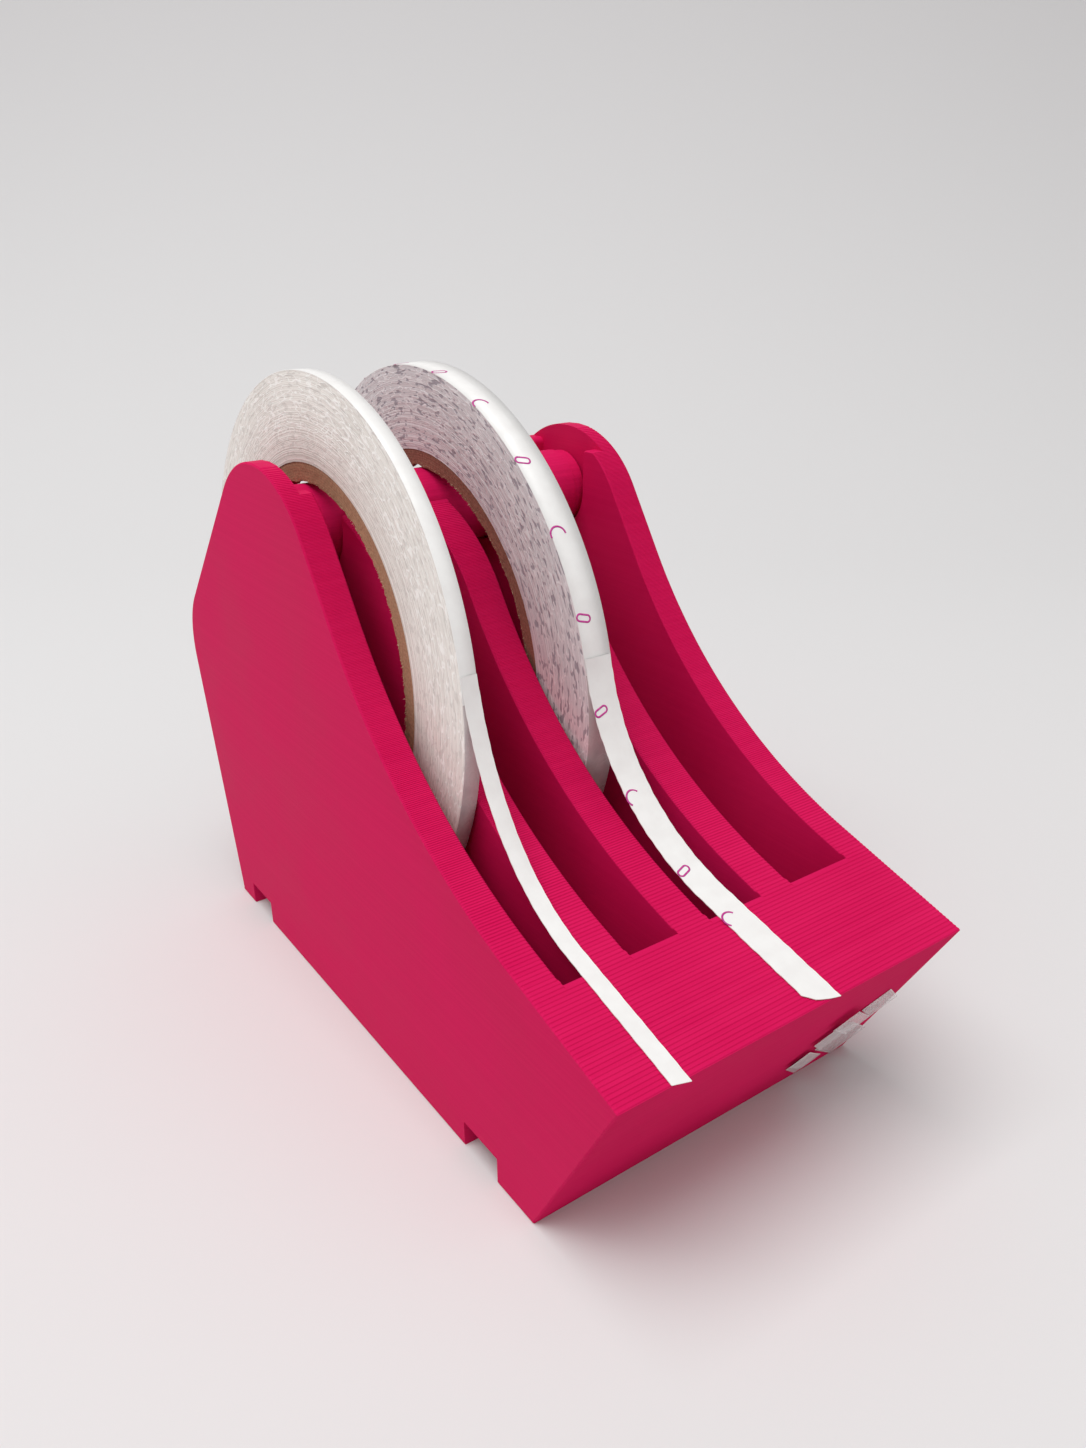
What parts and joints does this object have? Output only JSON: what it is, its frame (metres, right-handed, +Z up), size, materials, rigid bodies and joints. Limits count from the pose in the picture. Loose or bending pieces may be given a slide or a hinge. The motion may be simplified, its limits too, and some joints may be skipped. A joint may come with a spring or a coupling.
{
  "type": "spool holder stand",
  "caption": "Desk stand with slots side by side under an open-topped spindle, holding narrow rolls of tape whose tails lie on a sloping front ramp.",
  "frame": {"origin": "middle of the underside of the stand, between the two finger grooves", "axes": "+X across the stand along the spindle, +Y from the front ramp to the back, +Z up"},
  "size_m": [0.087, 0.1832, 0.1423],
  "materials": {
    "printed_pla": "satin crimson PLA with fine print lines across the slopes",
    "printed_pla_spindle": "satin crimson PLA, printed lying down",
    "core_board": "raw brown core board",
    "plain_tape": "wound tape edge, off-white, fine rings",
    "printed_tape": "wound tape edge, greyish pink, wavy",
    "liner_paper": "smooth white release liner",
    "clear_tape": "clear adhesive tape, slightly cloudy"
  },
  "bodies": {
    "stand": {"stand": "printed_pla", "roll_1_tail": "liner_paper", "roll_2_tail": "liner_paper", "clear_tape_scrap_1": "clear_tape", "clear_tape_scrap_2": "clear_tape", "clear_tape_scrap_3": "clear_tape", "clear_tape_scrap_4": "clear_tape", "clear_tape_scrap_5": "clear_tape", "clear_tape_scrap_6": "clear_tape"},
    "spindle": {"spindle": "printed_pla_spindle"},
    "roll_1": {"roll_1_core": "core_board", "roll_1_tape": "plain_tape"},
    "roll_2": {"roll_2_core": "core_board", "roll_2_tape": "printed_tape"}
  },
  "joints": [
    {"name": "spindle_lift", "type": "slide", "parent": "stand", "child": "spindle", "axis": [0, 0, 1], "range_m": [0, 0.13]},
    {"name": "roll_1_spin", "type": "hinge", "parent": "spindle", "child": "roll_1", "pos_m": [-0.0304, 0.0253, 0.08242], "axis": [0.9999, 0.0052, -0.0157], "continuous": true},
    {"name": "roll_2_spin", "type": "hinge", "parent": "spindle", "child": "roll_2", "pos_m": [0.0026, 0.0283, 0.08071], "axis": [0.9981, -0.0139, 0.0593], "continuous": true}
  ]
}
